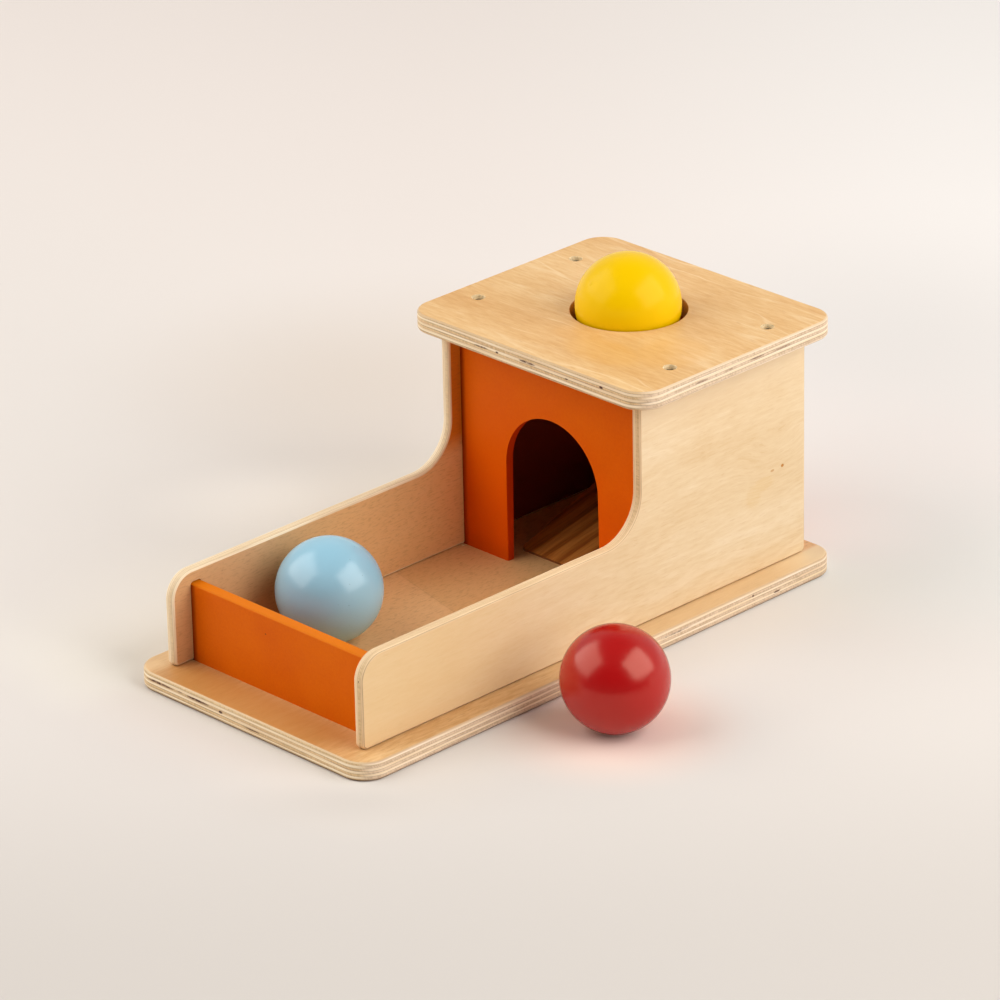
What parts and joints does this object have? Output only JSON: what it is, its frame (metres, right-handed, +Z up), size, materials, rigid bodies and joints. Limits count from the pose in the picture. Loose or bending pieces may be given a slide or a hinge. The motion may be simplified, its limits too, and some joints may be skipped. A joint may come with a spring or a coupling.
{
  "type": "object permanence box",
  "caption": "Wooden posting toy: a ball dropped through the hole in the house's roof rolls down a ramp and out of an arched door into a walled tray.",
  "frame": {"origin": "centre of the underside of the base board, on the surface that the box stands on", "axes": "+X across the tray to its right, +Y from the open tray end to the back of the house, +Z up"},
  "size_m": [0.1971, 0.278, 0.1427],
  "materials": {
    "birch_board": "satin clear lacquer over birch plywood, ply lines at the edges",
    "birch_panel": "satin clear lacquer over thin birch plywood, ply lines at the edges",
    "orange_paint": "satin orange paint over thin board",
    "pine": "plain sanded softwood with straight grain",
    "yellow_lacquer": "gloss yellow lacquer over a turned wooden ball",
    "blue_lacquer": "gloss light blue lacquer over a turned wooden ball",
    "red_lacquer": "gloss red lacquer over a turned wooden ball",
    "screw_steel": "zinc-plated steel"
  },
  "bodies": {
    "box": {"base_board": "birch_board", "left_side_panel": "birch_panel", "right_side_panel": "birch_panel", "roof_board": "birch_board", "arch_panel": "orange_paint", "tray_end_panel": "orange_paint", "back_panel": "orange_paint", "ramp": "pine", "roof_screw_1": "screw_steel", "roof_screw_2": "screw_steel", "roof_screw_3": "screw_steel", "roof_screw_4": "screw_steel", "base_screw_1": "screw_steel", "base_screw_2": "screw_steel", "base_screw_3": "screw_steel", "base_screw_4": "screw_steel", "base_screw_5": "screw_steel", "base_screw_6": "screw_steel", "ramp_screw_1": "screw_steel", "ramp_screw_2": "screw_steel"},
    "dropping_ball": {"yellow_ball": "yellow_lacquer"},
    "tray_ball": {"blue_ball": "blue_lacquer"},
    "spare_ball": {"red_ball": "red_lacquer"}
  },
  "joints": [
    {"name": "yellow_ball_drop", "type": "slide", "parent": "box", "child": "dropping_ball", "axis": [0, 0, 1], "range_m": [-0.0748, 0.06]},
    {"name": "blue_ball_roll", "type": "slide", "parent": "box", "child": "tray_ball", "axis": [0, 1, 0], "range_m": [-0.0231, 0.0812]},
    {"name": "red_ball_roll", "type": "slide", "parent": "box", "child": "spare_ball", "axis": [1, 0, 0], "range_m": [-0.0191, 0.08]}
  ]
}
